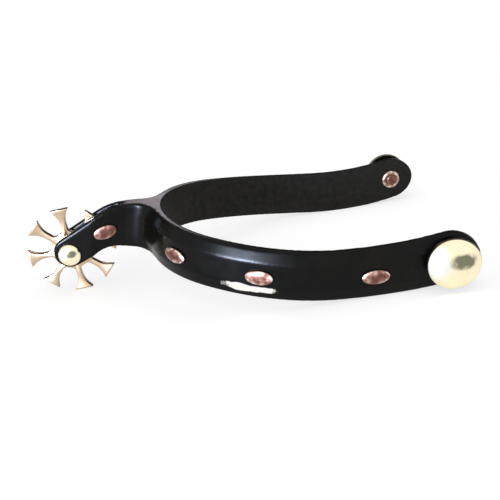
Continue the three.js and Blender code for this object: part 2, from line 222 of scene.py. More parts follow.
def arc(centre, radius, start, end, steps):
    """Points of a circular arc as (across, up) pairs, with angles in degrees."""
    angles = [math.radians(angle) for angle in evenly(start, end, steps)]
    return [(centre[0] + radius * math.cos(a), centre[1] + radius * math.sin(a)) for a in angles]


def quadratic(start, control, end, steps):
    """Points of a plane quadratic curve after its start."""
    points = []
    for t in evenly(0, 1, steps)[1:]:
        weights = ((1 - t) ** 2, 2 * t * (1 - t), t**2)
        ends = (start, control, end)
        points.append(tuple(sum(w * p[axis] for w, p in zip(weights, ends)) for axis in (0, 1)))
    return points


def dome(radius, edge, top, steps):
    """A dome's profile from its edge to its top."""
    angles = evenly(0, math.pi / 2, steps)[:-1]
    profile = [(radius * math.cos(a), edge + (top - edge) * math.sin(a)) for a in angles]
    return profile + [(0, top)]


def extruded(name, outline, depth, stand):
    """An outline made a prism, depth each way. stand(u, v, w) places a point in the spur's frame."""
    count = len(outline)
    points = [stand(u, v, -depth) for u, v in outline] + [stand(u, v, depth) for u, v in outline]
    faces = [tuple(range(count)), tuple(range(count, 2 * count))]
    faces += [(i, (i + 1) % count, count + (i + 1) % count, count + i) for i in range(count)]
    return make_piece(name, points, faces)


def apply_modifiers(piece):
    graph = bpy.context.evaluated_depsgraph_get()
    mesh = bpy.data.meshes.new_from_object(piece.evaluated_get(graph))
    piece.modifiers.clear()
    old = piece.data
    piece.data = mesh
    bpy.data.meshes.remove(old)


def combine(piece, other, operation):
    """Joins or cuts piece with other, which is used up."""
    step = piece.modifiers.new("combine", "BOOLEAN")
    step.operation = operation
    step.object = other
    step.solver = "EXACT"
    apply_modifiers(piece)
    bpy.data.objects.remove(other)


def store(piece, name, values):
    """Keeps one number per vertex under a name that a material reads."""
    layer = piece.data.attributes.new(name, "FLOAT", "POINT")
    layer.data.foreach_set("value", [float(value) for value in values])


def own_points(piece, place=SPUR):
    """A piece's vertices in the millimetres that it was made in."""
    back = place.inverted()
    return [back @ vertex.co for vertex in piece.data.vertices]


def store_reach(piece, place, radius):
    """Marks how far out each vertex is from the piece's own axis, as a share of a radius."""
    store(piece, "rim", [math.hypot(p.x, p.y) / radius for p in own_points(piece, place)])


def store_facing(piece, radius):
    """Marks a dome's painted pale reflection on one side and its painted dark reflection near the
    middle, each fading out from its own place.
    """
    points = [vertex.co for vertex in piece.data.vertices]
    middle = sum(points, Vector()) / len(points)
    for name, (across, upward), (reach_across, reach_upward) in DOME_MARKS:
        values = []
        for point in points:
            off = (point - middle) / (radius * MM)
            distance = math.hypot((off.x - across) / reach_across, (off.z - upward) / reach_upward)
            values.append(clamp(1 - distance))
        store(piece, name, values)


# ------------------------------------------------------------------ the band's own coordinates


def plan_line(distance):
    """The middle line of a branch in plan: x, y and heading at a distance from the heel."""
    x, y, heading, left = 0.0, 0.0, math.pi / 2, distance
    for radius, turn in BRANCH_ARCS:
        length = min(left, radius * turn)
        following = heading - length / radius
        x += radius * (math.sin(heading) - math.sin(following))
        y += radius * (math.cos(following) - math.cos(heading))
        heading = following
        left -= length
    return x, y, heading


def band_frame(distance):
    """Centre, outward and up directions; a negative distance is along the near branch."""
    side = -1 if distance < 0 else 1
    along = min(abs(distance), BRANCH_LENGTH)
    x, y, heading = plan_line(along)
    share = along / BRANCH_LENGTH
    slope = BRANCH_RISE * BRANCH_RISE_POWER * share ** (BRANCH_RISE_POWER - 1) / BRANCH_LENGTH
    pitch = math.atan(slope)
    forward = Vector((math.cos(heading), side * math.sin(heading), 0))
    centre = Vector((x, side * y, BRANCH_RISE * share**BRANCH_RISE_POWER))
    outward = Vector((-math.sin(heading), side * math.cos(heading), 0))
    up = Vector((0, 0, math.cos(pitch))) - forward * math.sin(pitch)
    return centre, outward, up


def band_point(distance, out, height):
    centre, outward, up = band_frame(distance)
    return centre + outward * out + up * height


# ------------------------------------------------------------------ heel band and shank

FORGING_VOXEL = 0.46
EVERYWHERE_ROUNDS = 4
SHANK_ROUNDS = 14
SHANK_BLEND_START = -3.5
SHANK_BLEND = 4.0
EDGE_ROUND = 0.75
BAND_STATIONS = 300
TIP_STEPS = 14
TIP_LAST = math.radians(87.5)
CUT_REACH = 60
CUT_HEIGHT = 40
BORE_SIDES = 48

INSIDE_DEPTH = 0.75  # how far into the band the dull inside reaches
INSIDE_BLEND = 0.5
BAND_MARGIN = 0.5  # what is further out than this from the band's face is shank


def band_section(half):
    """The band's section, (outward, up) pairs: rounded edges, a bevelled outer face."""
    rounding = min(EDGE_ROUND, half / 2)
    small = rounding / 2
    flat = BAND_FLAT_HALF * half / BAND_HALF
    lower = arc((BAND_INNER + small, -half + small), small, 180, 270, 3)
    lower += arc((BAND_EDGE - rounding, -half + rounding), rounding, 270, 345, 4)
    lower += [(BAND_FACE, -flat)]
    upper = [(out, -up) for out, up in reversed(lower)]
    return lower + upper


def band_strip():
    half = BAND_HALF
    straight = BRANCH_LENGTH - half
    ends = []
    for angle in evenly(0, TIP_LAST, TIP_STEPS)[1:]:
        ends.append((straight + half * math.sin(angle), half * math.cos(angle)))
    stations = [(-distance, height) for distance, height in reversed(ends)]
    stations += [(distance, half) for distance in evenly(-straight, straight, BAND_STATIONS)] + ends
    rings = [[band_point(d, out, up) for out, up in band_section(h)] for d, h in stations]
    tip = stations[-1][0]
    return lofted("band_strip", rings, band_point(-tip, 0, 0), band_point(tip, 0, 0))


def shank_side_outline():
    """The side view, as (x, z) pairs. Both slopes are tangent to the disc round the pin."""

    def touch(corner, sign):
        towards = Vector(corner) - SHANK_END
        spread = math.acos(SHANK_END_RADIUS / towards.length)
        return math.degrees(math.atan2(towards.y, towards.x) + sign * spread)

    outline = [(SHANK_ROOT, -SHANK_HALF_HEIGHT), (SHANK_ROOT, SHANK_HALF_HEIGHT), SHANK_TOP[0]]
    outline += quadratic(*SHANK_TOP, 20)
    start, end = touch(SHANK_TOP[2], 1), touch(SHANK_UNDER[0], -1) + 360
    outline += arc(SHANK_END, SHANK_END_RADIUS, start, end, 44)
    outline += [SHANK_UNDER[0]] + quadratic(*SHANK_UNDER, 16)
    return outline


def shank_plan_side(height):
    """Half the plan view at one height, as (x, y) pairs from behind the fork's end to the root."""
    share = clamp((abs(height) - BAND_FLAT_HALF) / (BAND_HALF - BAND_FLAT_HALF))
    heel_arc = BRANCH_ARCS[0][0]
    face = heel_arc + BAND_FACE - share * (BAND_FACE - BAND_EDGE)
    meet = (heel_arc - face * math.cos(FLARE_ANGLE), face * math.sin(FLARE_ANGLE))
    corner_x = meet[0] - (meet[1] - NECK_HALF_WIDTH) * math.tan(FLARE_ANGLE)
    start = (NECK_START, NECK_HALF_WIDTH)
    side = [(-CUT_REACH, FORK_HALF_WIDTH), (FORK_FULL, FORK_HALF_WIDTH)]
    side += [(NECK_END, NECK_HALF_WIDTH), start]
    return side + quadratic(start, (corner_x, NECK_HALF_WIDTH), meet, 20) + [(SHANK_ROOT, meet[1])]


def shank_plan_body():
    """The plan view made solid, drawn in above and below where it meets the band's bevels."""
    levels = [-CUT_HEIGHT, -SHANK_HALF_HEIGHT, -BAND_FLAT_HALF, BAND_FLAT_HALF, SHANK_HALF_HEIGHT]
    rings = []
    for height in levels:
        side = shank_plan_side(height)
        near = [(x, -y, height) for x, y in side]
        rings.append(near + [(x, y, height) for x, y in reversed(side)])
    return lofted("plan", rings, (0, 0, levels[0]), (0, 0, levels[-1]))


def drill(place, radius, length):
    outline = [(0, -length), (radius, -length), (radius, length), (0, length)]
    return turned("drill", outline, place, BORE_SIDES)


def spur_axis(centre, outward):
    """A place in the spur's frame whose +Z is a direction out of it."""
    turn = Vector(outward).to_track_quat("Z", "Y").to_matrix().to_4x4()
    return SPUR @ Matrix.Translation(centre) @ turn


def forging():
    """The band and the shank as one smooth forging, with the slot and the bores."""
    body = extruded("side", shank_side_outline(), CUT_REACH / 2, lambda u, v, w: (u, w, v))
    combine(body, shank_plan_body(), "INTERSECT")
    half = SLOT_WIDTH / 2
    slot = [(-CUT_REACH, -half), (SLOT_END, -half), (SLOT_END, half), (-CUT_REACH, half)]
    combine(body, extruded("slot", slot, CUT_HEIGHT, lambda u, v, w: (u, v, w)), "DIFFERENCE")
    pin_place = spur_axis(PIN_CENTRE, (0, 1, 0))
    combine(body, drill(pin_place, PIN_RADIUS + BORE_GAP, 2 * FORK_HALF_WIDTH), "DIFFERENCE")
    combine(body, band_strip(), "UNION")
    for side in (-1, 1):
        centre, outward, _ = band_frame(side * BUTTON_DISTANCE)
        rivet_drill = drill(spur_axis(centre, outward), RIVET_RADIUS + BORE_GAP, 2 * BAND_FACE)
        combine(body, rivet_drill, "DIFFERENCE")
    smooth_forging(body)
    body.name = "forged_band_and_shank"
    mark_forging(body)
    return body


def smooth_forging(body):
    """Gives the forging even faces and soft edges, which are rounder on the shank."""
    remesh = body.modifiers.new("even", "REMESH")
    remesh.mode = "VOXEL"
    remesh.voxel_size = FORGING_VOXEL * MM
    apply_modifiers(body)
    group = body.vertex_groups.new(name="shank")
    for index, point in enumerate(own_points(body)):
        weight = clamp((SHANK_BLEND_START - point.x) / SHANK_BLEND)
        if weight > 0:
            group.add([index], weight, "REPLACE")
    for name, rounds, region in (("soften", EVERYWHERE_ROUNDS, ""), ("round", SHANK_ROUNDS, "shank")):
        soften = body.modifiers.new(name, "SMOOTH")
        soften.factor = 0.5
        soften.iterations = rounds
        soften.vertex_group = region
    apply_modifiers(body)
    body.vertex_groups.clear()
    body.data.shade_smooth()


def mark_forging(body):
    """Marks where each point lies on the band, and how sharply the surface bulges there."""
    distances = evenly(-BRANCH_LENGTH, BRANCH_LENGTH, 2 * int(BRANCH_LENGTH))
    frames = [band_frame(distance) for distance in distances]
    stations = KDTree(len(frames))
    for index, (centre, _, _) in enumerate(frames):
        stations.insert((centre.x, centre.y, 0), index)
    stations.balance()
    marks = {"inside": [], "along": [], "height": []}
    for point in own_points(body):
        _, index, _ = stations.find((point.x, point.y, 0))
        centre, outward, up = frames[index]
        out = (point - centre).dot(outward)
        on_band = out < BAND_FACE + BAND_MARGIN
        marks["inside"].append(clamp((BAND_INNER + INSIDE_DEPTH - out) / INSIDE_BLEND))
        marks["along"].append(abs(distances[index]) / BRANCH_LENGTH if on_band else 0)
        marks["height"].append((point - centre).dot(up) / BAND_HALF)
    for name, values in marks.items():
        store(body, name, values)
    store(body, "bulge", bulge(body))


def bulge(piece):
    """How much each vertex stands proud of its neighbours, along its normal, in millimetres."""
    mesh = piece.data
    total = [Vector() for _ in mesh.vertices]
    count = [0] * len(total)
    for edge in mesh.edges:
        for here, there in (tuple(edge.vertices), tuple(reversed(edge.vertices))):
            total[here] += mesh.vertices[there].co
            count[here] += 1
    proud = []
    for vertex, neighbours, number in zip(mesh.vertices, total, count):
        proud.append((vertex.co - neighbours / max(number, 1)).dot(vertex.normal) / MM)
    return proud


# ------------------------------------------------------------------ rowel and pin

ROWEL_STEPS = 6
ROWEL_EDGE_WIDTH = 0.25
ROWEL_EDGE_ANGLE = math.radians(50)
ROWEL_SHARP_ANGLE = math.radians(35)
CUT_BLEND = 0.3
PIN_SIDES = 72
# A peened end, as shares of its radius and millimetres up from its tip.
PEENED = [(0.3, 0.03), (0.6, 0.15), (0.85, 0.4), (1.0, 0.75)]


def rowel_outline(steps):
    """The star's outline in its own plane, as (x, z) pairs about the pin."""
    pitch = 2 * math.pi / ROWEL_POINTS
    half = ROWEL_STEM_HALF

    def turn(point, angle):
        c, s = math.cos(angle), math.sin(angle)
        return (point[0] * c - point[1] * s, point[0] * s + point[1] * c)

    valley = turn((ROWEL_VALLEY, 0), -pitch / 2)
    side = quadratic(valley, (ROWEL_VALLEY, -half), (ROWEL_ROOT, -half), steps)
    side += [(ROWEL_WAIST, -half)]
    side += quadratic(side[-1], (ROWEL_FLARE, -half), (ROWEL_RADIUS, -ROWEL_TIP_HALF), steps)
    point = side + [(x, -y) for x, y in reversed(side)] + [turn((ROWEL_VALLEY, 0), pitch / 2)]
    outline = []
    for number in range(ROWEL_POINTS):
        outline += [turn(p, ROWEL_PHASE + number * pitch) for p in point]
    return outline


def rowel():
    """The star, with its bore and softened edges; cut is 1 on the sawn edges."""

    def stand(u, v, w):
        return (PIN_CENTRE.x + u, w, PIN_CENTRE.z + v)

    star = extruded("rowel_star", rowel_outline(ROWEL_STEPS), ROWEL_THICKNESS / 2, stand)
    place = spur_axis(PIN_CENTRE, (0, 1, 0))
    combine(star, drill(place, PIN_RADIUS + BORE_GAP, ROWEL_THICKNESS), "DIFFERENCE")
    edges = star.modifiers.new("edges", "BEVEL")
    edges.width = ROWEL_EDGE_WIDTH * MM
    edges.segments = 2
    edges.limit_method = "ANGLE"
    edges.angle_limit = ROWEL_EDGE_ANGLE
    apply_modifiers(star)
    star.data.set_sharp_from_angle(angle=ROWEL_SHARP_ANGLE)
    points = own_points(star)
    store(star, "cut", [clamp((ROWEL_THICKNESS / 2 - abs(p.y)) / CUT_BLEND) for p in points])
    return star


def peened(tail, shoulder, radius):
    """A peened end's profile from its tip up to where it sits on its burr."""
    rounded = [(share * radius, tail + height) for share, height in PEENED]
    return [(0, tail), *rounded, (radius, shoulder)]


def rowel_pin():
    """The headed pin and the washer under its peened far end."""
    place = spur_axis(PIN_CENTRE, (0, -1, 0))
    seat = FORK_HALF_WIDTH + SEAT_GAP
    burr_top = -seat
    burr_foot = burr_top - BURR_THICKNESS
    neck = burr_foot - SEAT_GAP
    profile = peened(burr_foot - PIN_TAIL_LENGTH, neck, PEENED_RADIUS)
    profile += [(PIN_RADIUS, neck), (PIN_RADIUS, seat), (PIN_HEAD_FLAT, seat)]
    head_edge = (PIN_HEAD_RADIUS - PIN_HEAD_ROUND, seat + PIN_HEAD_ROUND)
    profile += arc(head_edge, PIN_HEAD_ROUND, 280, 350, 5)
    profile += dome(PIN_HEAD_RADIUS, seat + PIN_HEAD_EDGE, FORK_HALF_WIDTH + PIN_HEAD_HEIGHT, 20)
    pin = turned("rowel_pin_headed", profile, place, PIN_SIDES)
    store_facing(pin, PIN_HEAD_RADIUS)
    inner = PIN_RADIUS + WASHER_GAP
    middle = WASHER_RADIUS - WASHER_ROUND
    ring = [(inner, burr_top)] + arc((middle, burr_top - WASHER_ROUND), WASHER_ROUND, 90, 0, 4)
    ring += arc((middle, burr_foot + WASHER_ROUND), WASHER_ROUND, 0, -90, 4)
    burr = turned("rowel_pin_washer", ring + [(inner, burr_foot), (inner, burr_top)], place, PIN_SIDES)
    return pin, burr


# ------------------------------------------------------------------ studs

STUD_SIDES = 72
# How much paler each stud is, partly wear and partly painted light: the middle studs palest as a
# painted highlight, the shank's darker as painted shade.
STUD_WEAR_AND_LIGHT = {"heel": 0.2, "middle": 0.35, "front": 0.1, "shank": -0.3}
STUD_FOOT = -0.25
STUD_WALL = [(0.6, STUD_FOOT), (1.0, STUD_FOOT), (1.0, STUD_RIM - 0.1), (0.985, STUD_RIM + 0.1)]
STUD_SHARES = (0.95, 0.88, 0.78, 0.66, 0.5, 0.33, 0.16)
STUD_ROUNDNESS = 2.6


def stud(name, halves, wear_and_painted_light, place_point):
    """A domed oval. place_point(along, across, height) puts a point on its surface."""
    profile = list(STUD_WALL)
    for share in STUD_SHARES:
        rise = math.sqrt(1 - share**STUD_ROUNDNESS)
        profile.append((share, STUD_RIM + (STUD_CROWN - STUD_RIM) * rise))
    angles = [2 * math.pi * i / STUD_SIDES for i in range(STUD_SIDES)]
    rings = []
    for share, height in profile:
        across = [(halves[0] * share * math.cos(a), halves[1] * share * math.sin(a)) for a in angles]
        rings.append([place_point(u, v, height) for u, v in across])
    piece = lofted(name, rings, place_point(0, 0, STUD_FOOT), place_point(0, 0, STUD_CROWN))
    store(piece, "rim", [share for share, _ in profile for _ in angles] + [1, 0])
    store(piece, "wear_and_painted_light", [wear_and_painted_light] * len(piece.data.vertices))
    return piece


def studs():
    """Every stud with the name of the node that it stands for."""
    made = []
    for side_name, side in (("near", -1), ("far", 1)):
        for name, distance in STUD_DISTANCES.items():

            def on_band(along, across, height, side=side, distance=distance):
                up = STUD_DROP - side * across
                return band_point(side * (distance + along), BAND_FACE + height, up)

            oval = stud(f"{side_name}_{name}_oval", STUD_HALVES, STUD_WEAR_AND_LIGHT[name], on_band)
            made.append((f"{side_name}_{name}_stud", oval))

        splay = math.atan2(FORK_HALF_WIDTH - NECK_HALF_WIDTH, NECK_END - FORK_FULL)
        half_width = NECK_HALF_WIDTH + (NECK_END - SHANK_STUD_X) * math.tan(splay)

        def on_shank(along, across, height, side=side, half_width=half_width, splay=splay):
            outward = Vector((math.sin(splay), side * math.cos(splay), 0))
            forward = Vector((math.cos(splay), -side * math.sin(splay), 0))
            u = along * math.cos(SHANK_STUD_TILT) + side * across * math.sin(SHANK_STUD_TILT)
            v = along * math.sin(SHANK_STUD_TILT) - side * across * math.cos(SHANK_STUD_TILT)
            middle = Vector((SHANK_STUD_X, side * half_width, SHANK_STUD_Z + v))
            return middle + forward * u + outward * height

        oval = stud(f"{side_name}_shank_oval", SHANK_STUD_HALVES, STUD_WEAR_AND_LIGHT["shank"], on_shank)
        made.append((f"{side_name}_shank_stud", oval))
    return made


# ------------------------------------------------------------------ strap buttons

RIVET_SIDES = 64
BURR_WEAR = 0.6


def button_place(side_name):
    """The rivet's axis as +Z, out of the band, from the joint that the button turns on."""
    joint = JOINTS[f"{side_name}_button_swivel"]
    turn = Vector(joint["axis"]).to_track_quat("Z", "Y").to_matrix().to_4x4()
    return Matrix.Translation(Vector(joint["pos_m"])) @ turn @ Matrix.Scale(MM, 4)


def strap_button(side_name):
    """The cap, the backing disc with its neck, the rivet and the burr of one button."""
    place = button_place(side_name)
    cap_profile = CAP_HOLLOW + arc((BUTTON_RADIUS - 0.37, CAP_EDGE), CAP_LIP, 200, 340, 5)
    cap_profile += dome(BUTTON_RADIUS, CAP_EDGE + 0.15, CAP_TOP, 30)
    cap = turned(f"{side_name}_domed_cap", cap_profile, place, 128)
    store_facing(cap, BUTTON_RADIUS)
    store_reach(cap, place, BUTTON_RADIUS)

    inner = RIVET_RADIUS + WASHER_GAP
    foot = BAND_FACE + SEAT_GAP
    back_profile = [(inner, foot), (BACK_NECK_FOOT, foot), *BACK_NECK]
    back_profile.append((BACK_RADIUS - 0.5, BACK_FACE))
    round_centre = (BACK_RADIUS - BACK_ROUND, BACK_TOP - BACK_ROUND)
    back_profile += arc(round_centre, BACK_ROUND, 270, 450, 8)
    back_profile += [(inner, BACK_TOP), (inner, foot)]
    back = turned(f"{side_name}_backing_disc", back_profile, place)

    burr_top = BAND_INNER - SEAT_GAP
    burr_foot = burr_top - BURR_THICKNESS
    neck = burr_foot - SEAT_GAP
    head_foot = BACK_TOP + SEAT_GAP
    rivet_profile = peened(burr_foot - RIVET_TAIL_LENGTH, neck, PEENED_RADIUS)
    rivet_profile += [(RIVET_RADIUS, neck), (RIVET_RADIUS, head_foot)]
    rivet_profile += [(RIVET_HEAD_RADIUS, head_foot), *RIVET_HEAD]
    rivet = turned(f"{side_name}_rivet", rivet_profile, place, RIVET_SIDES)
    store_reach(rivet, place, BURR_MARK_RADIUS)

    burr_profile = [(inner, burr_top), (BURR_RADIUS - 0.1, burr_top)]
    burr_profile += [(BURR_RADIUS, burr_top - BURR_ROUND), (BURR_RADIUS - 0.2, burr_foot + BURR_ROUND)]
    burr_profile += [(BURR_RADIUS - 0.8, burr_foot), (inner, burr_foot), (inner, burr_top)]
    burr = turned(f"{side_name}_burr", burr_profile, place, RIVET_SIDES)
    store_reach(burr, place, BURR_MARK_RADIUS)
    store(burr, "wear_and_painted_light", [BURR_WEAR] * len(burr.data.vertices))
    return {"cap": cap, "back": back, "rivet": rivet, "burr": burr}


# ------------------------------------------------------------------ materials

LACQUER = [(0.35, (0.0025, 0.0032, 0.0026)), (0.65, (0.006, 0.005, 0.0042))]
LACQUER_INSIDE = [(0.3, (0.006, 0.0072, 0.0058)), (0.7, (0.017, 0.0145, 0.012))]
SCUFFED_EDGE = (0.09, 0.085, 0.085)
# Bare steel rubbed through the lacquer on the lower bevel, made near-white as a painted highlight.
BARE_STEEL_GLARE = (0.98, 0.92, 0.87)
BARE_GLARE_ALONG = (0.4, 0.47)  # shares of a branch's length from the heel
BARE_GLARE_HEIGHT = (-0.66, -0.55)  # shares of half the band's height from its middle

PALE_BRASS = ((0.95, 0.87, 0.63), (0.9, 0.79, 0.5))
SAND_BRASS = ((0.56, 0.42, 0.29), (0.4, 0.28, 0.165))
BRASS_PIT = (0.25, 0.17, 0.06)
# Painted reflections on the domes: pale bluish on one side, dark grey-green near the middle.
PAINTED_PALE_REFLECTION = (0.86, 0.93, 1.0)
PAINTED_DARK_REFLECTION = (0.13, 0.13, 0.08)
# Painted shade: a dark line round a cap's rim.
PAINTED_RIM_SHADE = (0.07, 0.045, 0.02)
SAWN_EDGE = (0.17, 0.11, 0.055)

# The copper gets paler towards a stud's edge: a painted sheen.
COPPER_WITH_EDGE_SHEEN = [
    (0.3, (0.13, 0.055, 0.04)),
    (0.62, (0.27, 0.135, 0.1)),
    (0.85, (0.45, 0.29, 0.235)),
    (1.0, (0.74, 0.62, 0.5)),
]
# Painted shade in the seam round each stud's edge.
COPPER_SEAM_SHADE = (0.03, 0.015, 0.012)


class Finish:
    """A material's node tree, with short ways to add the nodes that the finishes here share."""

    def __init__(self, name):
        self.material = bpy.data.materials.new(name)
        self.material.use_nodes = True
        self.nodes = self.material.node_tree.nodes
        self.links = self.material.node_tree.links
        self.shader = self.nodes["Principled BSDF"]

    def feed(self, socket, value):
        """Gives a socket a link, a number or a colour."""
        if isinstance(value, bpy.types.NodeSocket):
            self.links.new(value, socket)
        elif isinstance(value, tuple):
            socket.default_value = (*value, 1)
        else:
            socket.default_value = value

    def noise(self, scale, detail=3.0):
        where = self.nodes.new("ShaderNodeTexCoord")
        grain = self.nodes.new("ShaderNodeTexNoise")
        grain.inputs["Scale"].default_value = scale
        grain.inputs["Detail"].default_value = detail
        self.links.new(where.outputs["Object"], grain.inputs["Vector"])
        return grain.outputs["Fac"]

    def attribute(self, name):
        node = self.nodes.new("ShaderNodeAttribute")
        node.attribute_name = name
        return node.outputs["Fac"]

    def ramp(self, source, stops):
        """Maps a value through colours, given as (place, colour) in rising order."""
        node = self.nodes.new("ShaderNodeValToRGB")
        elements = node.color_ramp.elements
        while len(elements) < len(stops):
            elements.new(0.5)
        for element, (place, colour) in zip(elements, stops):
            element.position = place
            element.color = (*colour, 1)
        self.links.new(source, node.inputs["Fac"])
        return node.outputs["Color"]

    def mix(self, share, first, second):
        node = self.nodes.new("ShaderNodeMix")
        node.data_type = "RGBA"
        for index, value in ((0, share), (6, first), (7, second)):
            self.feed(node.inputs[index], value)
        return node.outputs[2]

    def span(self, source, low, high, new_low=0.0, new_high=1.0):
        """Maps a range of a value smoothly to another range."""
        node = self.nodes.new("ShaderNodeMapRange")
        node.interpolation_type = "SMOOTHSTEP"
        ends = {"From Min": low, "From Max": high, "To Min": new_low, "To Max": new_high}
        for key, value in ends.items():
            node.inputs[key].default_value = value
        self.links.new(source, node.inputs["Value"])
        return node.outputs["Result"]

    def maths(self, operation, first, second):
        node = self.nodes.new("ShaderNodeMath")
        node.operation = operation
        self.feed(node.inputs[0], first)
        self.feed(node.inputs[1], second)
        return node.outputs["Value"]

    def product(self, *factors):
        result = factors[0]
        for factor in factors[1:]:
            result = self.maths("MULTIPLY", result, factor)
        return result

    def window(self, source, low, high, soft):
        """One inside a range of a value, falling to zero over a soft edge."""
        rise = self.span(source, low - soft, low)
        return self.product(rise, self.span(source, high, high + soft, 1.0, 0.0))

    def bump(self, height, strength, distance):
        node = self.nodes.new("ShaderNodeBump")
        node.inputs["Strength"].default_value = strength
        node.inputs["Distance"].default_value = distance
        self.links.new(height, node.inputs["Height"])
        self.links.new(node.outputs["Normal"], self.shader.inputs["Normal"])

    def set(self, **values):
        for key, value in values.items():
            self.feed(self.shader.inputs[key.replace("_", " ")], value)


def black_steel():
    """Black lacquered steel: glossy outside, dull and mottled inside, scuffed a little along its
    sharpest edges, and rubbed bare on the lower bevel under each middle stud, where the near-white
    bare steel is also a painted highlight."""
    finish = Finish("black_lacquered_steel")
    cloud = finish.noise(90, 4)
    inside = finish.attribute("inside")
    outside = finish.maths("SUBTRACT", 1.0, inside)
    outer = finish.ramp(cloud, LACQUER)
    colour = finish.mix(inside, outer, finish.ramp(finish.noise(420, 5), LACQUER_INSIDE))
    scuff = finish.product(finish.attribute("bulge"), finish.noise(320, 5))
    colour = finish.mix(finish.span(scuff, 0.02, 0.08, 0, 0.1), colour, SCUFFED_EDGE)
    # Painted highlight: the rubbed-bare patch on the lower bevel is near-white bare steel that stands
    # in for glare.
    patch = finish.product(
        finish.window(finish.attribute("along"), *BARE_GLARE_ALONG, 0.06),
        finish.window(finish.attribute("height"), *BARE_GLARE_HEIGHT, 0.18),
        outside,
    )
    uneven = finish.maths("ADD", patch, finish.span(finish.noise(150, 3), 0.3, 0.7, -0.35, 0.2))
    bare_glare = finish.span(uneven, 0.25, 0.65)
    satin = finish.span(cloud, 0.3, 0.7, 0.2, 0.28)
    finish.set(
        Base_Color=finish.mix(bare_glare, colour, BARE_STEEL_GLARE),
        Metallic=bare_glare,
        Roughness=finish.maths("ADD", satin, finish.product(inside, 0.4)),
        Specular_IOR_Level=0.1,
    )
    finish.bump(finish.noise(1100, 2), 0.06, 0.0001)
    return finish.material


def brass(name, colours, rough, spots):
    """Polished brass with faint tarnish clouds and small pits. A dome has a painted pale bluish
    reflection on one side and a painted dark grey-green reflection near its middle; a cap has a
    painted dark line of shade round its rim too."""
    finish = Finish(name)
    cloud = finish.noise(140, 5)
    pits = finish.noise(1500, 2)
    colour = finish.ramp(cloud, list(zip((0.35, 0.75), colours)))
    colour = finish.mix(finish.span(pits, 0.62, 0.75, 0, spots), colour, BRASS_PIT)
    # Painted pale bluish reflection on one side of a dome.
    painted_pale_reflection = finish.span(finish.attribute("painted_pale_reflection"), 0, 0.7, 0, 0.75)
    colour = finish.mix(painted_pale_reflection, colour, PAINTED_PALE_REFLECTION)
    # Painted dark grey-green reflection near a dome's middle.
    blotches = finish.span(finish.noise(330, 3), 0.3, 0.7, 0.65, 1.5)
    patchy = finish.product(finish.attribute("painted_dark_reflection"), blotches)
    colour = finish.mix(finish.span(patchy, 0.05, 0.6, 0, 0.9), colour, PAINTED_DARK_REFLECTION)
    # Painted shade: a dark line round a cap's rim.
    colour = finish.mix(finish.span(finish.attribute("rim"), 0.965, 0.99), colour, PAINTED_RIM_SHADE)
    roughness = finish.span(cloud, 0.3, 0.7, rough, rough + 0.12)
    finish.set(Base_Color=colour, Roughness=roughness, Metallic=1.0)
    finish.bump(pits, 0.1, 0.0001)
    return finish, colour


def pale_brass():
    """Bright yellow-white brass for the caps, the pin and its washer."""
    return brass("pale_brass", PALE_BRASS, 0.14, 0.25)[0].material


def rowel_brass():
    """Sand-coloured brass, with darker sawn edges."""
    finish, colour = brass("rowel_brass", SAND_BRASS, 0.2, 0.35)
    finish.set(Base_Color=finish.mix(finish.attribute("cut"), colour, SAWN_EDGE))
    return finish.material


def copper():
    """Copper: paler towards the edge than in the middle, which is a painted sheen; paler or darker per
    stud by an amount that is partly wear and partly painted light;
    and dark in the seam round each stud's edge, which is painted shade."""
    finish = Finish("copper_with_painted_sheen_and_shade")
    cloud = finish.noise(500, 4)
    # Painted sheen towards the edge, and per-stud paleness that is partly wear and partly painted
    # light.
    rim = finish.attribute("rim")
    uneven = finish.maths("ADD", rim, finish.span(cloud, 0.3, 0.7, -0.3, 0.3))
    uneven = finish.maths("ADD", uneven, finish.product(finish.attribute("wear_and_painted_light"), 0.4))
    colour = finish.ramp(finish.product(uneven, 0.85), COPPER_WITH_EDGE_SHEEN)
    finish.set(
        # Painted shade in the seam round each stud's edge.
        Base_Color=finish.mix(finish.span(rim, 0.89, 0.96), colour, COPPER_SEAM_SHADE),
        Metallic=0.9,
        Roughness=finish.span(cloud, 0.3, 0.7, 0.32, 0.48),
    )
    finish.bump(cloud, 0.25, 0.0002)
    return finish.material


# ------------------------------------------------------------------ stage, light and camera

WORLD_STRENGTH = 1.1
DARK_ZONE = 0.1
# The dark zone's edges: an axis, where the edge starts and ends, and 1 if darkness rises there.
DARK_EDGES = [("Y", 0.1, 0.4, 1), ("Z", 0.0, 0.04, 1), ("Z", 0.65, 0.8, 0)]
# Lights: a name, a place and a target in metres, a size, a power in watts and a colour.
LIGHTS = [
    ("heel_light", (-0.045, 0.46, 0.2), (-0.03, 0, 0.03), (0.15, 0.08), 0.16, (1, 0.9, 0.98)),
    ("low_window", (-0.345, -0.527, 0.1), (0, -0.043, 0.02), (0.2, 0.14), 15, (0.68, 0.78, 1)),
]
FLOOR_HALF = 20.0
FLOOR_GREY = (0.35, 0.35, 0.35)
FLOOR_GLOW = 0.7

CAMERA_TARGET = Vector((4.857, 0, 5.523)) * MM
CAMERA_DISTANCE = 314.6 * MM
CAMERA_AZIMUTH = math.radians(0.224)
CAMERA_ELEVATION = math.radians(22.944)
CAMERA_ROLL = math.radians(-8.86)
CAMERA_LENS = 53.46


def area_light(name, place, target, size, power, colour):
    """A soft light that shows in glossy reflections and doesn't light matt surfaces."""
    data = bpy.data.lights.new(name, "AREA")
    data.shape = "RECTANGLE"
    data.size, data.size_y = size
    data.energy = power
    data.color = colour
    light = bpy.data.objects.new(name, data)
    light.location = place
    light.rotation_mode = "QUATERNION"
    light.rotation_quaternion = (Vector(target) - Vector(place)).to_track_quat("-Z", "Y")
    light.visible_camera = False
    light.visible_diffuse = False
    bpy.context.scene.collection.objects.link(light)


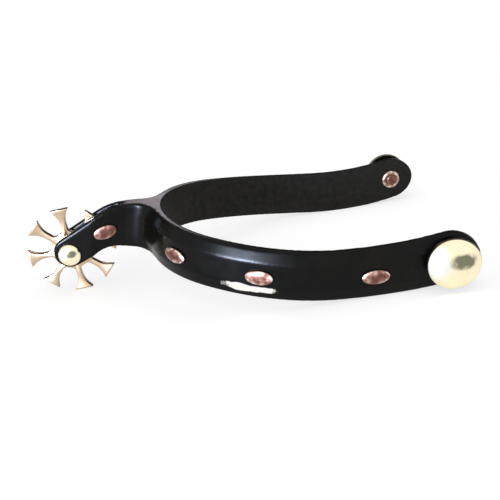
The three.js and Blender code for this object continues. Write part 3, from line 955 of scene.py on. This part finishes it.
def studio():
    """A white room, dark behind the spur, with a low window and a light for the heel's top."""
    world = bpy.data.worlds.new("studio")
    world.use_nodes = True
    nodes, links = world.node_tree.nodes, world.node_tree.links
    where = nodes.new("ShaderNodeTexCoord")
    axes = nodes.new("ShaderNodeSeparateXYZ")
    links.new(where.outputs["Generated"], axes.inputs[0])
    shade = nodes.new("ShaderNodeMix")
    shade.data_type = "RGBA"
    shade.inputs[6].default_value = (1, 1, 1, 1)
    shade.inputs[7].default_value = (DARK_ZONE, DARK_ZONE, DARK_ZONE, 1)
    links.new(shade.outputs[2], nodes["Background"].inputs["Color"])
    nodes["Background"].inputs["Strength"].default_value = WORLD_STRENGTH
    darkness = None
    for axis, low, high, rising in DARK_EDGES:
        edge = nodes.new("ShaderNodeMapRange")
        ends = {"From Min": low, "From Max": high, "To Min": 1 - rising, "To Max": rising}
        for key, value in ends.items():
            edge.inputs[key].default_value = value
        links.new(axes.outputs[axis], edge.inputs["Value"])
        both = nodes.new("ShaderNodeMath")
        both.operation = "MULTIPLY"
        both.inputs[0].default_value = 1
        if darkness is not None:
            links.new(darkness, both.inputs[0])
        links.new(edge.outputs["Result"], both.inputs[1])
        darkness = both.outputs["Value"]
    links.new(darkness, shade.inputs[0])
    bpy.context.scene.world = world
    for light in LIGHTS:
        area_light(*light)
    bpy.context.scene.view_settings.view_transform = "Standard"


def floor():
    """A plain pale table that glows faintly, so that it comes out nearly white."""
    size = FLOOR_HALF
    mesh = bpy.data.meshes.new("floor")
    corners = [(-size, -size, 0), (size, -size, 0), (size, size, 0), (-size, size, 0)]
    mesh.from_pydata(corners, [], [(0, 1, 2, 3)])
    plane = bpy.data.objects.new("floor", mesh)
    bpy.context.scene.collection.objects.link(plane)
    finish = Finish("pale_table")
    finish.set(Base_Color=FLOOR_GREY, Roughness=0.9, Specular_IOR_Level=0.1)
    finish.set(Emission_Color=(1.0, 1.0, 1.0), Emission_Strength=FLOOR_GLOW)
    plane.data.materials.append(finish.material)


def camera():
    data = bpy.data.cameras.new("camera")
    data.lens = CAMERA_LENS
    data.sensor_width = 36
    data.clip_start = 0.01
    data.clip_end = 100
    a, e = CAMERA_AZIMUTH, CAMERA_ELEVATION
    back = Vector((math.sin(a) * math.cos(e), -math.cos(a) * math.cos(e), math.sin(e)))
    eye = bpy.data.objects.new("camera", data)
    eye.location = CAMERA_TARGET + back * CAMERA_DISTANCE
    level = back.to_track_quat("Z", "Y").to_matrix().to_4x4()
    turn = level @ Matrix.Rotation(CAMERA_ROLL, 4, "Z")
    eye.rotation_mode = "QUATERNION"
    eye.rotation_quaternion = turn.to_quaternion()
    bpy.context.scene.collection.objects.link(eye)
    bpy.context.scene.camera = eye


# ------------------------------------------------------------------ the assembly


def add_piece(piece, finish, slot, body, *nodes):
    piece.data.materials.clear()
    piece.data.materials.append(finish)
    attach(piece, body)
    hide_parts(*nodes)


camera()
studio()
floor()

steel = black_steel()
bright = pale_brass()
sandy = rowel_brass()
reddish = copper()

add_piece(forging(), steel, "black_steel", "frame", "heel_band", "shank")
add_piece(rowel(), sandy, "rowel_brass", "rowel", "rowel")
pin, washer = rowel_pin()
add_piece(pin, bright, "pale_brass", "frame", "rowel_pin")
add_piece(washer, bright, "pale_brass", "frame", "rowel_pin_burr")
for node, oval in studs():
    add_piece(oval, reddish, "copper", "frame", node)
for side_name in ("near", "far"):
    button = strap_button(side_name)
    body = f"{side_name}_button"
    add_piece(button["cap"], bright, "pale_brass", body, f"{body}_cap")
    add_piece(button["back"], steel, "black_steel", body, f"{body}_back")
    add_piece(button["rivet"], reddish, "copper", body, f"{body}_rivet")
    add_piece(button["burr"], reddish, "copper", body, f"{body}_burr")
